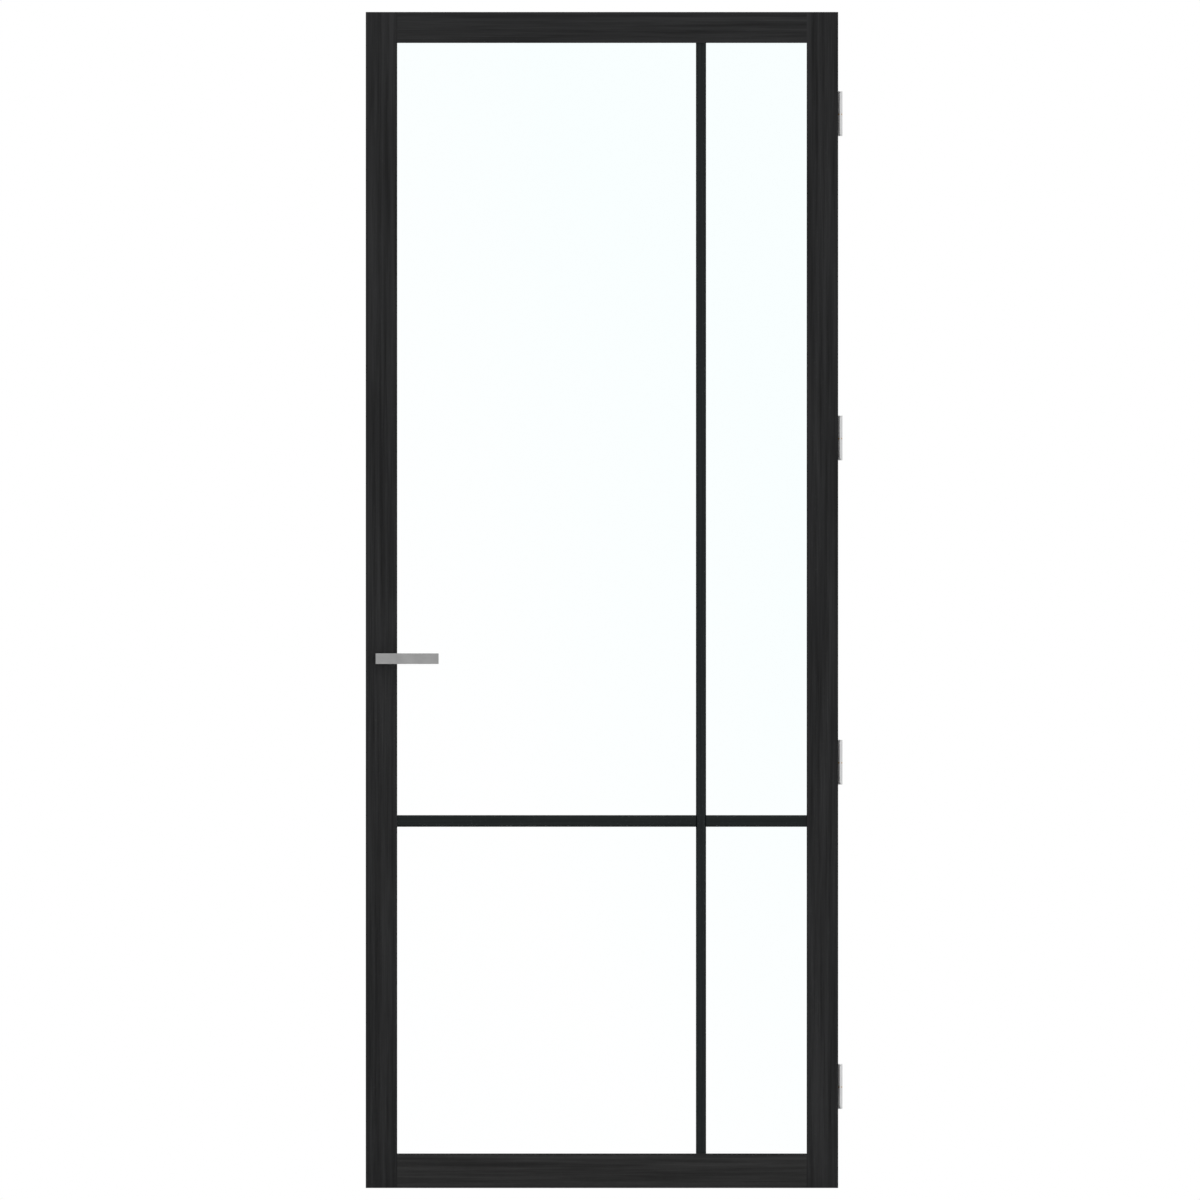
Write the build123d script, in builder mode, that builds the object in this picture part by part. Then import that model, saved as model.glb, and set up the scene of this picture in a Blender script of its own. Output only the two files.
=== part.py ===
from build123d import *
from math import cos, radians, sin
import os

# A framed glass door leaf: slim black frame, one pane under glued glazing bars,
# lever handles on a narrow latch lock, and lift-off hinges on the right edge.
# Millimetres. X runs right and Z up as seen from the front, and Y runs away to the back.
# The origin is at the foot, in the middle of the box round the whole door.

# Leaf and frame members
leaf_width = 930.0
leaf_height = 2315.0
leaf_depth = 40.0
stile_width = 62.0
top_rail_height = 61.0
bottom_rail_height = 68.0
rebate_width = 12.0
front_lip_depth = 15.0
sight_bevel = 1.0
outer_bevel = 1.0

# Loose tenons across the corner joints, one at each end of each rail
tenon_length = 70.0
tenon_height = 32.0
tenon_thickness = 12.0
tenon_end_distance = 10.0
mortise_end_gap = 1.0

# Glass and what beds it
glass_thickness = 6.4
glass_edge_gap = 4.0
glazing_tape_thickness = 1.8
glazing_tape_width = 8.0
tape_setback = 2.0
setting_block_length = 80.0
setting_block_height = 5.0
setting_block_distance = 175.0
bead_round = 2.5

# Glazing bars on both faces of the glass
wide_pane_width = 588.0
lower_pane_height = 643.0
upright_bar_width = 20.0
cross_bar_height = 23.0
bar_depth = 12.0
bar_bevel = 2.5
bar_tape_thickness = 1.0
bar_tape_inset = 3.0

# Latch lock in the lock stile
handle_height = 1042.0
backset = 30.0
faceplate_height = 174.0
faceplate_width = 20.0
faceplate_thickness = 3.0
faceplate_above_axis = 5.0
case_height = 100.0
case_length = 43.0
case_thickness = 14.0
case_wall = 1.5
mortise_gap = 0.4

# Latch bolt, drawn out by the magnet of the strike
bolt_length = 40.0
bolt_height = 18.0
bolt_thickness = 10.0
bolt_above_axis = 28.0
bolt_travel = 10.0
bolt_gap = 0.2
bolt_nose_bevel = 1.0
guide_rib_length = 8.0
guide_rib_height = 4.0
guide_rib_distance = 22.0

# Follower, spindle and levers
follower_hub_radius = 9.0
follower_journal_radius = 7.0
follower_side_gap = 0.4
finger_radius = 16.5
finger_width = 5.0
finger_rest_angle = 22.5
lever_turn = 45.0
stop_block_size = 4.0
stop_distance = 13.0
stop_gap = 0.3
spindle_size = 8.0
spindle_grip = 32.0
lever_height = 21.0
lever_bar_depth = 12.0
lever_length = 124.0
lever_projection = 55.0
lever_edge_bevel = 0.6
lever_elbow_round = 3.0
journal_radius = 7.5
bush_radius = 9.5
bush_flange_radius = 10.3
bush_flange_thickness = 2.5
bush_end_gap = 1.0

# Lift-off hinges: the pin stands on the lower knuckle, and the upper one turns on it
hinge_count = 4
hinge_end_distance = 200.0
hinge_height = 89.0
hinge_leaf_reach = 44.5
hinge_plate_thickness = 3.0
hinge_gap = 3.0
hinge_corner_round = 10.0
barrel_radius = 7.0
barrel_behind_leaf = 1.5
barrel_notch_gap = 0.5
knuckle_gap = 0.2
pin_radius = 4.0
pin_length = 36.0
pin_end_gap = 1.5
hinge_hole_radius = 2.5
hinge_outer_hole_reach = 35.0
hinge_inner_hole_reach = 21.0
hinge_outer_hole_height = 33.0
hinge_inner_hole_height = 14.0

# Clearances
running_gap = 0.06
slip_gap = 0.05
recess_gap = 0.1

# Places that follow from the sizes above
box_width = leaf_width + hinge_gap / 2 + barrel_radius
leaf_left = -box_width / 2
leaf_right = leaf_left + leaf_width
leaf_middle = leaf_left + leaf_width / 2
front_y = -leaf_depth / 2
back_y = leaf_depth / 2
rebate_y = front_y + front_lip_depth
glass_front_y = rebate_y + glazing_tape_thickness
glass_back_y = glass_front_y + glass_thickness
bead_front_y = glass_back_y + glazing_tape_thickness

sight_left = leaf_left + stile_width
sight_right = leaf_right - stile_width
sight_bottom = bottom_rail_height
sight_top = leaf_height - top_rail_height
sight_width = sight_right - sight_left
sight_height = sight_top - sight_bottom
sight_middle_z = (sight_bottom + sight_top) / 2
rebate_left = sight_left - rebate_width
rebate_right = sight_right + rebate_width
rebate_bottom = sight_bottom - rebate_width
rebate_top = sight_top + rebate_width

spindle_x = leaf_left + backset
spindle_z = handle_height


def save(piece, name):
    """Labels a finished piece and writes it to its own file."""
    piece.label = name
    export_step(piece, f"parts/{name}.step")


os.makedirs("parts", exist_ok=True)

# Stiles and rails


def stile_blank(outer_x, inward):
    """Full-height upright: a front lip, and behind it a rebate that holds the glass."""
    lip_x = outer_x + inward * stile_width
    rebate_x = outer_x + inward * (stile_width - rebate_width)
    with BuildPart() as blank:
        with BuildSketch():
            with BuildLine():
                Polyline(
                    (outer_x, front_y),
                    (lip_x, front_y),
                    (lip_x, rebate_y),
                    (rebate_x, rebate_y),
                    (rebate_x, back_y),
                    (outer_x, back_y),
                    close=True,
                )
            make_face()
        extrude(amount=leaf_height)
        faces_by_depth = blank.faces().sort_by(Axis.Y)
        outer_edges = ShapeList()
        for broad_face in (faces_by_depth[0], faces_by_depth[-1]):
            outer_edges += broad_face.edges().sort_by(Axis.X, reverse=inward < 0)[:-1]
        chamfer(outer_edges, outer_bevel)
    return blank.part


def rail_blank(outer_z, inward, height):
    """Rail coped over the stiles: its back part is longer and ends in their rebates."""
    back_height = height - rebate_width
    with BuildPart() as blank:
        with BuildSketch(Plane.XZ.offset(-front_y)):
            with Locations((leaf_middle, outer_z + inward * height / 2)):
                Rectangle(sight_width, height)
        extrude(amount=-front_lip_depth)
        with BuildSketch(Plane.XZ.offset(-rebate_y)):
            with Locations((leaf_middle, outer_z + inward * back_height / 2)):
                Rectangle(rebate_right - rebate_left, back_height)
        extrude(amount=rebate_y - back_y)
        outer_edges = blank.edges().filter_by(Axis.X).filter_by_position(Axis.Z, outer_z, outer_z)
        by_depth = outer_edges.sort_by(Axis.Y)
        chamfer([by_depth[0], by_depth[-1]], outer_bevel)
    return blank.part


# Cutter for the bevel round the sight opening, mitred at the corners
with BuildPart() as sight_cutter:
    with BuildSketch(Plane.XZ.offset(-front_y)):
        with Locations((leaf_middle, sight_middle_z)):
            Rectangle(sight_width + 2 * sight_bevel, sight_height + 2 * sight_bevel)
    with BuildSketch(Plane.XZ.offset(-front_y - sight_bevel)):
        with Locations((leaf_middle, sight_middle_z)):
            Rectangle(sight_width, sight_height)
    loft()

# Tenons across the four joints between stile and rail, half in each
tenon_middle_y = (rebate_y + back_y) / 2
tenon_middle_rise = tenon_end_distance + tenon_height / 2


def tenons(side_gap, end_gap):
    """The four tenons, or their mortises with the gaps: flat blocks through the joints."""
    with BuildPart() as blocks:
        for joint_x in (rebate_left, rebate_right):
            with BuildSketch(Plane.YZ.offset(joint_x)):
                for middle_z in (tenon_middle_rise, leaf_height - tenon_middle_rise):
                    with Locations((tenon_middle_y, middle_z)):
                        Rectangle(tenon_thickness + 2 * side_gap, tenon_height + 2 * side_gap)
            extrude(amount=tenon_length / 2 + end_gap, both=True)
    return blocks.part


with BuildPart() as corner_tenons:
    add(tenons(0, 0))

with BuildPart() as mortises:
    add(tenons(slip_gap, mortise_end_gap))

with BuildPart() as top_rail:
    add(rail_blank(leaf_height, -1, top_rail_height))
    add(sight_cutter.part, mode=Mode.SUBTRACT)
    add(mortises.part, mode=Mode.SUBTRACT)

with BuildPart() as bottom_rail:
    add(rail_blank(0, 1, bottom_rail_height))
    add(sight_cutter.part, mode=Mode.SUBTRACT)
    add(mortises.part, mode=Mode.SUBTRACT)

save(corner_tenons.part, "corner_tenons")
save(top_rail.part, "top_rail")
save(bottom_rail.part, "bottom_rail")

# Glass, its bedding and the beads that hold it from the back

glass_left = rebate_left + glass_edge_gap
glass_right = rebate_right - glass_edge_gap
glass_bottom = rebate_bottom + setting_block_height
glass_top = rebate_top - glass_edge_gap

with BuildPart() as glass_pane:
    with BuildSketch(Plane.XZ.offset(-glass_front_y)):
        with Locations((leaf_middle, (glass_bottom + glass_top) / 2)):
            Rectangle(glass_right - glass_left, glass_top - glass_bottom)
    extrude(amount=-glass_thickness)

with BuildPart() as setting_blocks:
    with BuildSketch(Plane.XZ.offset(-glass_front_y)):
        for block_x in (
            sight_left + setting_block_distance,
            sight_right - setting_block_distance,
        ):
            with Locations((block_x, rebate_bottom + setting_block_height / 2)):
                Rectangle(setting_block_length, setting_block_height)
    extrude(amount=-glass_thickness)

save(glass_pane.part, "glass_pane")
save(setting_blocks.part, "setting_blocks")


def glazing_tape(front_face_y):
    """Foam tape between the glass and its frame: a ring a little back from the sight edge."""
    hole_width = sight_width + 2 * tape_setback
    hole_height = sight_height + 2 * tape_setback
    with BuildPart() as tape:
        with BuildSketch(Plane.XZ.offset(-front_face_y)):
            with Locations((leaf_middle, sight_middle_z)):
                Rectangle(hole_width + 2 * glazing_tape_width, hole_height + 2 * glazing_tape_width)
                Rectangle(hole_width, hole_height, mode=Mode.SUBTRACT)
        extrude(amount=-glazing_tape_thickness)
    return tape.part


save(glazing_tape(rebate_y), "front_glazing_tape")
save(glazing_tape(glass_back_y), "rear_glazing_tape")


def glazing_bead(middle_x, middle_z, inward, length):
    """Bead with mitred ends, drawn on the leaf's back face, its sight edge rounded."""
    face = Plane(origin=(middle_x, back_y, middle_z), x_dir=inward, z_dir=(0, -1, 0))
    with BuildPart() as bead:
        with BuildSketch(face):
            with BuildLine():
                Polyline(
                    (0, -length / 2),
                    (0, length / 2),
                    (rebate_width, length / 2 - rebate_width),
                    (rebate_width, rebate_width - length / 2),
                    close=True,
                )
            make_face()
        extrude(amount=back_y - bead_front_y)
        inner_face = bead.faces().sort_by(Axis(face.origin, face.x_dir))[-1]
        fillet(inner_face.edges().sort_by(Axis.Y)[-1], bead_round)
    return bead.part


rebate_middle_z = (rebate_bottom + rebate_top) / 2
rebate_height = rebate_top - rebate_bottom
rebate_length = rebate_right - rebate_left
save(glazing_bead(rebate_left, rebate_middle_z, (1, 0, 0), rebate_height), "left_bead")
save(glazing_bead(rebate_right, rebate_middle_z, (-1, 0, 0), rebate_height), "right_bead")
save(glazing_bead(leaf_middle, rebate_bottom, (0, 0, 1), rebate_length), "bottom_bead")
save(glazing_bead(leaf_middle, rebate_top, (0, 0, -1), rebate_length), "top_bead")

# Glazing bars: one upright over the full sight height and a cross bar in two lengths,
# the same on the front and the back of the glass

upright_left = sight_left + wide_pane_width
upright_right = upright_left + upright_bar_width
cross_middle_z = sight_bottom + lower_pane_height + cross_bar_height / 2


def glass_face(toward, x, z, along, distance):
    """Plane at a distance off the glass, seen from the front (-1) or the back (1)."""
    surface_y = glass_front_y if toward < 0 else glass_back_y
    return Plane(origin=(x, surface_y + toward * distance, z), x_dir=along, z_dir=(0, toward, 0))


def glazing_bar(plane, length, width):
    """Flat bar on its tape, with the two long edges that face the room bevelled."""
    with BuildPart() as bar:
        with BuildSketch(plane):
            Rectangle(length, width)
        extrude(amount=bar_depth)
        room_face = bar.faces().sort_by(Axis(plane.origin, plane.z_dir))[-1]
        chamfer(room_face.edges().filter_by(Axis(plane.origin, plane.x_dir)), bar_bevel)
    return bar.part


for side, toward in (("front", -1), ("rear", 1)):
    upright_place = glass_face(
        toward, (upright_left + upright_right) / 2, sight_middle_z, (0, 0, 1), bar_tape_thickness
    )
    save(
        glazing_bar(upright_place, sight_height, upright_bar_width),
        f"{side}_upright_bar",
    )
    for field, start_x, end_x in (
        ("wide", sight_left, upright_left),
        ("narrow", upright_right, sight_right),
    ):
        cross_place = glass_face(
            toward, (start_x + end_x) / 2, cross_middle_z, (1, 0, 0), bar_tape_thickness
        )
        save(
            glazing_bar(cross_place, end_x - start_x, cross_bar_height),
            f"{side}_cross_bar_{field}",
        )
    with BuildPart() as bar_tape:
        with BuildSketch(glass_face(toward, leaf_middle, sight_middle_z, (1, 0, 0), 0)):
            upright_x = (upright_left + upright_right) / 2 - leaf_middle
            with Locations((upright_x, 0)):
                Rectangle(upright_bar_width - 2 * bar_tape_inset, sight_height)
            cross_z = toward * (sight_middle_z - cross_middle_z)
            with Locations((0, cross_z)):
                Rectangle(sight_width, cross_bar_height - 2 * bar_tape_inset)
        extrude(amount=bar_tape_thickness)
    save(bar_tape.part, f"{side}_bar_tape")

# Latch lock: a tray and its welded cover behind a faceplate, let into the lock stile's edge

case_left = leaf_left + faceplate_thickness
case_right = case_left + case_length
case_middle_x = (case_left + case_right) / 2
case_middle_z = spindle_z + faceplate_above_axis
case_front_y = -case_thickness / 2
case_back_y = case_thickness / 2
case_inner_front_y = case_front_y + case_wall
case_inner_back_y = case_back_y - case_wall
bolt_middle_z = spindle_z + bolt_above_axis
guide_rib_x = leaf_left + guide_rib_distance


def beside_finger(angle, offset):
    """Place beside the follower's finger when it stands at an angle from upright."""
    lean = radians(angle)
    x = spindle_x + stop_distance * sin(lean) + offset * cos(lean)
    z = spindle_z + stop_distance * cos(lean) - offset * sin(lean)
    return Location((x, z), -angle)


stop_offset = finger_width / 2 + stop_gap + stop_block_size / 2
finger_end_angle = lever_turn - finger_rest_angle
stop_places = [
    beside_finger(-finger_rest_angle, -stop_offset),
    beside_finger(finger_end_angle, stop_offset),
]

with BuildPart() as lock_case:
    with BuildSketch(Plane.XZ.offset(-case_back_y)):
        with Locations((case_middle_x, case_middle_z)):
            Rectangle(case_length, case_height)
    extrude(amount=case_back_y - case_inner_front_y)
    with BuildSketch(Plane.XZ.offset(-case_inner_back_y)):
        with Locations((case_middle_x, case_middle_z)):
            Rectangle(case_length - 2 * case_wall, case_height - 2 * case_wall)
    extrude(amount=case_inner_back_y - case_inner_front_y, mode=Mode.SUBTRACT)
    with BuildSketch(Plane.XZ.offset(-case_inner_back_y)):
        with Locations(*stop_places):
            Rectangle(stop_block_size, stop_block_size)
        with Locations((guide_rib_x, bolt_middle_z)):
            Rectangle(guide_rib_length, guide_rib_height)
    extrude(amount=case_inner_back_y - case_inner_front_y)
    with BuildSketch(Plane.XZ.offset(-case_back_y)):
        with Locations((spindle_x, spindle_z)):
            Circle(follower_journal_radius + running_gap)
    extrude(amount=case_wall, mode=Mode.SUBTRACT)
    with BuildSketch(Plane.YZ.offset(case_left)):
        with Locations((0, bolt_middle_z)):
            Rectangle(bolt_thickness + 2 * bolt_gap, bolt_height + 2 * bolt_gap)
    extrude(amount=case_wall, mode=Mode.SUBTRACT)

with BuildPart() as lock_cover:
    with BuildSketch(Plane.XZ.offset(-case_inner_front_y)):
        with Locations((case_middle_x, case_middle_z)):
            Rectangle(case_length, case_height)
        with Locations((spindle_x, spindle_z)):
            Circle(follower_journal_radius + running_gap, mode=Mode.SUBTRACT)
    extrude(amount=case_wall)

with BuildPart() as lock_faceplate:
    with BuildSketch(Plane.YZ.offset(leaf_left)):
        with Locations((0, case_middle_z)):
            SlotOverall(faceplate_height, faceplate_width, rotation=90)
        with Locations((0, bolt_middle_z)):
            Rectangle(bolt_thickness + 2 * bolt_gap, bolt_height + 2 * bolt_gap, mode=Mode.SUBTRACT)
    extrude(amount=faceplate_thickness)

with BuildPart() as latch_bolt:
    with BuildSketch(Plane.XZ.offset(bolt_thickness / 2)):
        with Locations((leaf_left + bolt_length / 2, bolt_middle_z)):
            Rectangle(bolt_length, bolt_height)
        slot_start = guide_rib_x - guide_rib_length / 2 - stop_gap
        slot_end = guide_rib_x + guide_rib_length / 2 + bolt_travel + stop_gap
        with Locations(((slot_start + slot_end) / 2, bolt_middle_z)):
            Rectangle(
                slot_end - slot_start, guide_rib_height + 2 * bolt_gap, mode=Mode.SUBTRACT
            )
    extrude(amount=-bolt_thickness)
    chamfer(latch_bolt.faces().sort_by(Axis.X)[0].edges(), bolt_nose_bevel)

save(lock_case.part, "lock_case")
save(lock_cover.part, "lock_cover")
save(lock_faceplate.part, "lock_faceplate")
save(latch_bolt.part, "latch_bolt")

# Follower, spindle, levers and the bushes that they turn in

follower_front_y = case_inner_front_y + follower_side_gap
follower_back_y = case_inner_back_y - follower_side_gap

with BuildPart() as follower:
    with BuildSketch(Plane.XZ.offset(-follower_front_y)):
        with Locations((spindle_x, spindle_z)):
            Circle(follower_hub_radius)
        with Locations(Location((spindle_x, spindle_z), finger_rest_angle)):
            with Locations((0, finger_radius / 2)):
                Rectangle(finger_width, finger_radius)
    extrude(amount=follower_front_y - follower_back_y)
    with BuildSketch(Plane.XZ.offset(-case_front_y)):
        with Locations((spindle_x, spindle_z)):
            Circle(follower_journal_radius)
    extrude(amount=case_front_y - case_back_y)
    with BuildSketch(Plane.XZ.offset(-case_front_y)):
        with Locations((spindle_x, spindle_z)):
            Rectangle(spindle_size + 2 * slip_gap, spindle_size + 2 * slip_gap)
    extrude(amount=case_front_y - case_back_y, mode=Mode.SUBTRACT)

flange_face_y = front_y - bush_flange_thickness
neck_foot_y = flange_face_y - stop_gap
spindle_end_y = neck_foot_y - spindle_grip
lever_face_y = front_y - lever_projection
lever_left = spindle_x - lever_height / 2

with BuildPart() as spindle:
    with BuildSketch(Plane.XZ.offset(-spindle_end_y)):
        with Locations((spindle_x, spindle_z)):
            Rectangle(spindle_size, spindle_size)
    extrude(amount=2 * spindle_end_y)

with BuildPart() as front_lever:
    with BuildSketch(Plane.XY.offset(spindle_z - lever_height / 2)):
        with BuildLine():
            Polyline(
                (lever_left, neck_foot_y),
                (lever_left + lever_height, neck_foot_y),
                (lever_left + lever_height, lever_face_y + lever_bar_depth),
                (lever_left + lever_length, lever_face_y + lever_bar_depth),
                (lever_left + lever_length, lever_face_y),
                (lever_left, lever_face_y),
                close=True,
            )
        make_face()
    extrude(amount=lever_height)
    inner_corner = (lever_left + lever_height, lever_face_y + lever_bar_depth, spindle_z)
    elbow = front_lever.edges().filter_by(Axis.Z).sort_by_distance(inner_corner)[0]
    fillet(elbow, lever_elbow_round)
    foot_edges = front_lever.faces().sort_by(Axis.Y)[-1].edges()
    chamfer(front_lever.edges() - foot_edges, lever_edge_bevel)
    with BuildSketch(Plane.XZ.offset(-neck_foot_y)):
        with Locations((spindle_x, spindle_z)):
            Circle(journal_radius)
    extrude(amount=neck_foot_y - case_front_y + bush_end_gap)
    with BuildSketch(Plane.XZ.offset(-case_front_y)):
        with Locations((spindle_x, spindle_z)):
            Rectangle(spindle_size + 2 * slip_gap, spindle_size + 2 * slip_gap)
    extrude(amount=case_front_y - spindle_end_y + slip_gap, mode=Mode.SUBTRACT)

with BuildPart() as rear_lever:
    mirror(front_lever.part, about=Plane.XZ)

with BuildPart() as front_lever_bush:
    with BuildSketch(Plane.XZ.offset(-front_y)):
        with Locations((spindle_x, spindle_z)):
            Circle(bush_flange_radius)
    extrude(amount=bush_flange_thickness)
    with BuildSketch(Plane.XZ.offset(-front_y)):
        with Locations((spindle_x, spindle_z)):
            Circle(bush_radius)
    extrude(amount=front_y - case_front_y + bush_end_gap)
    with BuildSketch(Plane.XZ.offset(-flange_face_y)):
        with Locations((spindle_x, spindle_z)):
            Circle(journal_radius + running_gap)
    extrude(amount=flange_face_y - case_front_y, mode=Mode.SUBTRACT)

with BuildPart() as rear_lever_bush:
    mirror(front_lever_bush.part, about=Plane.XZ)

save(follower.part, "follower")
save(spindle.part, "spindle")
save(front_lever.part, "front_lever")
save(rear_lever.part, "rear_lever")
save(front_lever_bush.part, "front_lever_bush")
save(rear_lever_bush.part, "rear_lever_bush")

# The lock stile, cut for the faceplate, the case and the bushes

with BuildPart() as lock_stile:
    add(stile_blank(leaf_left, 1))
    add(sight_cutter.part, mode=Mode.SUBTRACT)
    add(mortises.part, mode=Mode.SUBTRACT)
    with BuildSketch(Plane.YZ.offset(leaf_left)):
        with Locations((0, case_middle_z)):
            SlotOverall(
                faceplate_height + 2 * recess_gap, faceplate_width + 2 * recess_gap, rotation=90
            )
    extrude(amount=faceplate_thickness, mode=Mode.SUBTRACT)
    with BuildSketch(Plane.YZ.offset(leaf_left)):
        with Locations((0, case_middle_z)):
            Rectangle(case_thickness + 2 * mortise_gap, case_height + 2 * mortise_gap)
    extrude(amount=faceplate_thickness + case_length + mortise_gap, mode=Mode.SUBTRACT)
    with BuildSketch(Plane.XZ.offset(-front_y)):
        with Locations((spindle_x, spindle_z)):
            Circle(bush_radius + slip_gap)
    extrude(amount=-leaf_depth, mode=Mode.SUBTRACT)

save(lock_stile.part, "lock_stile")

# Lift-off hinges, modelled once about the pin and placed down the right edge

hinge_x = leaf_right + hinge_gap / 2
hinge_y = back_y + barrel_behind_leaf + barrel_radius
hinge_pitch = (leaf_height - 2 * hinge_end_distance) / (hinge_count - 1)
hinge_places = [
    Location((hinge_x, hinge_y, hinge_end_distance + number * hinge_pitch))
    for number in range(hinge_count)
]
plate_inner_reach = barrel_radius + barrel_notch_gap
knuckle_length = (hinge_height - knuckle_gap) / 2


def hinge_plate(side, spare):
    """Flat plate of a hinge leaf, rounded at its far corners, or its recess with spare."""
    with BuildPart() as plate:
        with BuildSketch(Plane.YZ.offset(side * hinge_gap / 2)) as outline:
            with Locations((-(hinge_leaf_reach + plate_inner_reach) / 2, 0)):
                Rectangle(
                    hinge_leaf_reach - plate_inner_reach + 2 * spare, hinge_height + 2 * spare
                )
            fillet(outline.vertices().group_by(Axis.X)[0], hinge_corner_round + spare)
        extrude(amount=side * hinge_plate_thickness)
    return plate.part


def hinge_leaf(side):
    """Half a hinge about its pin: on the right the lower knuckle, on the left the upper.

    The right one, for the jamb, has its screw holes open. The left one's are filled by screws.
    """
    inner_end = -side * knuckle_gap / 2
    with BuildPart() as leaf:
        with BuildSketch(Plane.XY.offset(inner_end)):
            Circle(barrel_radius)
        extrude(amount=-side * knuckle_length)
        with BuildSketch(Plane.XY.offset(inner_end)):
            with Locations((side * (hinge_gap + hinge_plate_thickness) / 2, -plate_inner_reach / 2)):
                Rectangle(hinge_plate_thickness, plate_inner_reach)
        extrude(amount=-side * knuckle_length)
        add(hinge_plate(side, 0))
        if side > 0:
            with BuildSketch(Plane.YZ.offset(hinge_gap / 2)):
                for reach, height in (
                    (hinge_outer_hole_reach, hinge_outer_hole_height),
                    (hinge_inner_hole_reach, hinge_inner_hole_height),
                ):
                    with Locations((-reach, height), (-reach, -height)):
                        Circle(hinge_hole_radius)
            extrude(amount=hinge_plate_thickness, mode=Mode.SUBTRACT)
            with BuildSketch(Plane.XY.offset(inner_end)):
                Circle(pin_radius)
            extrude(amount=pin_length)
        else:
            with BuildSketch(Plane.XY.offset(inner_end)):
                Circle(pin_radius + running_gap)
            extrude(amount=pin_length - knuckle_gap + pin_end_gap, mode=Mode.SUBTRACT)
    return leaf.part


door_hinge_leaf = hinge_leaf(-1)
jamb_hinge_leaf = hinge_leaf(1)

for number, place in enumerate(hinge_places, start=1):
    save(door_hinge_leaf.moved(place), f"door_hinge_leaf_{number}")
    save(jamb_hinge_leaf.moved(place), f"jamb_hinge_leaf_{number}")

# The hinge stile, cut for the hinge plates

with BuildPart() as hinge_stile:
    add(stile_blank(leaf_right, -1))
    add(sight_cutter.part, mode=Mode.SUBTRACT)
    add(mortises.part, mode=Mode.SUBTRACT)
    with Locations(*hinge_places):
        add(hinge_plate(-1, recess_gap), mode=Mode.SUBTRACT)

save(hinge_stile.part, "hinge_stile")
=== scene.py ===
from math import pi, radians

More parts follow.
